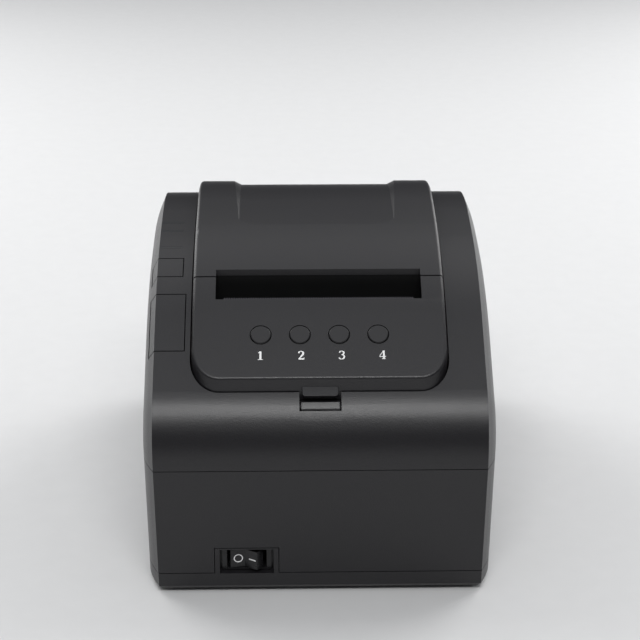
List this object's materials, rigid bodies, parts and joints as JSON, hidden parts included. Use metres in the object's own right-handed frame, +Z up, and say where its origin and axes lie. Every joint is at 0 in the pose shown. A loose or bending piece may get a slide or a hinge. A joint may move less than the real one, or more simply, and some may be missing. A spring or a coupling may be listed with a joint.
{
  "type": "ticket printer",
  "caption": "Countertop queue ticket printer with a row of function buttons on its sloped front, a ticket slot with a serrated edge, a hinged paper lid and a power rocker.",
  "frame": {"origin": "on the table under the middle of the printer, at the underside of the rubber feet", "axes": "+Z up, front with the power switch at -Y, +X to the viewer's right"},
  "size_m": [0.145, 0.195, 0.1362],
  "materials": {
    "case_black": "fine-textured satin black ABS",
    "inner_black": "plain black moulding",
    "button_black": "satin black",
    "lamp": "smoked clear light bar, unlit",
    "rubber": "matt",
    "platen_rubber": "smooth silicone rubber",
    "steel": "bright steel",
    "zinc_sheet": "zinc-plated sheet",
    "aluminium": "milled",
    "head_ceramic": "glazed ceramic print line",
    "gear_white": "natural acetal",
    "board_green": "solder-masked board",
    "switch_black": "gloss black",
    "socket_black": "moulded connector",
    "socket_metal": "nickel-plated shell"
  },
  "bodies": {
    "base": {"base_tray": "case_black", "rubber_feet": "rubber", "base_screws": "steel", "middle_housing": "case_black", "upper_cover": "case_black", "paper_bin": "inner_black", "main_board": "board_green", "switch_bezel": "switch_black", "mechanism_frame": "zinc_sheet", "print_head": "head_ceramic", "heat_sink": "aluminium", "head_springs": "steel", "cutter_frame": "zinc_sheet", "cutter_motor": "steel", "stepper_motor": "steel", "hinge_pin": "steel", "lock_pin": "steel", "status_board": "board_green", "indicator_lamps": "lamp", "port_plate": "inner_black", "dc_socket": "socket_black", "usb_socket": "socket_metal", "network_socket": "socket_metal", "drawer_socket": "socket_black"},
    "lid": {"lid_shell": "case_black", "platen_bracket": "inner_black", "platen_bushes": "gear_white", "fixed_blade": "steel"},
    "platen": {"platen_roller": "platen_rubber", "platen_shaft": "steel", "platen_gear": "gear_white"},
    "idler": {"idler_gear": "gear_white"},
    "motor_rotor": {"motor_shaft": "steel", "motor_pinion": "steel"},
    "panel": {"button_panel": "case_black", "button_board": "board_green", "tear_bar": "steel"},
    "cutter_pinion": {"cutter_gear": "gear_white"},
    "blade": {"cutter_blade": "steel"},
    "release": {"release_key": "case_black"},
    "feed": {"feed_key": "case_black"},
    "lock": {"lock_hook": "inner_black"},
    "rocker": {"power_rocker": "switch_black"},
    "button_1": {"button_1": "button_black"},
    "button_2": {"button_2": "button_black"},
    "button_3": {"button_3": "button_black"},
    "button_4": {"button_4": "button_black"}
  },
  "joints": [
    {"name": "lid_hinge", "type": "hinge", "parent": "base", "child": "lid", "pos_m": [0, 0.092, 0.07809], "axis": [-1, 0, 0], "range_deg": [0, 95]},
    {"name": "platen_spin", "type": "hinge", "parent": "lid", "child": "platen", "pos_m": [0, -0.02762, 0.1002], "axis": [1, 0, 0], "continuous": true},
    {"name": "idler_spin", "type": "hinge", "parent": "base", "child": "idler", "pos_m": [0.047, -0.03599, 0.08226], "axis": [1, 0, 0], "continuous": true},
    {"name": "motor_spin", "type": "hinge", "parent": "base", "child": "motor_rotor", "pos_m": [0.047, -0.05002, 0.07416], "axis": [1, 0, 0], "continuous": true},
    {"name": "panel_lift", "type": "slide", "parent": "base", "child": "panel", "axis": [0, 0, 1], "range_m": [0, 0.014]},
    {"name": "cutter_spin", "type": "hinge", "parent": "base", "child": "cutter_pinion", "pos_m": [-0.025, -0.05896, 0.09161], "axis": [0, -0.6018, 0.7986], "range_deg": [0, 93]},
    {"name": "blade_slide", "type": "slide", "parent": "base", "child": "blade", "axis": [0, 0.7986, 0.6018], "range_m": [0, 0.009]},
    {"name": "release_press", "type": "slide", "parent": "base", "child": "release", "axis": [0, 0.5891, -0.808], "range_m": [0, 0.0015], "stiffness_N_per_m": 400, "springref_m": -0.0006},
    {"name": "feed_press", "type": "slide", "parent": "base", "child": "feed", "axis": [0, 0.3766, -0.9264], "range_m": [0, 0.001], "stiffness_N_per_m": 300, "springref_m": -0.0006},
    {"name": "lock_turn", "type": "hinge", "parent": "base", "child": "lock", "pos_m": [-0.0627, -0.01952, 0.072], "axis": [1, 0, 0], "range_deg": [0, 7.8]},
    {"name": "power_switch", "type": "hinge", "parent": "base", "child": "rocker", "pos_m": [-0.0304, -0.0906, 0.0149], "axis": [0, 0, 1], "range_deg": [0, 24]},
    {"name": "button_1_press", "type": "slide", "parent": "panel", "child": "button_1", "axis": [0, 0.6018, -0.7986], "range_m": [0, 0.001], "stiffness_N_per_m": 250, "springref_m": -0.0006},
    {"name": "button_2_press", "type": "slide", "parent": "panel", "child": "button_2", "axis": [0, 0.6018, -0.7986], "range_m": [0, 0.001], "stiffness_N_per_m": 250, "springref_m": -0.0006},
    {"name": "button_3_press", "type": "slide", "parent": "panel", "child": "button_3", "axis": [0, 0.6018, -0.7986], "range_m": [0, 0.001], "stiffness_N_per_m": 250, "springref_m": -0.0006},
    {"name": "button_4_press", "type": "slide", "parent": "panel", "child": "button_4", "axis": [0, 0.6018, -0.7986], "range_m": [0, 0.001], "stiffness_N_per_m": 250, "springref_m": -0.0006}
  ],
  "couplings": [
    {"joint": "idler_spin", "follows": "platen_spin", "ratio": -0.57143},
    {"joint": "motor_spin", "follows": "platen_spin", "ratio": 2},
    {"joint": "cutter_spin", "follows": "blade_slide", "rad_per_m": 178.57},
    {"joint": "lock_turn", "follows": "release_press", "rad_per_m": 88.963}
  ]
}
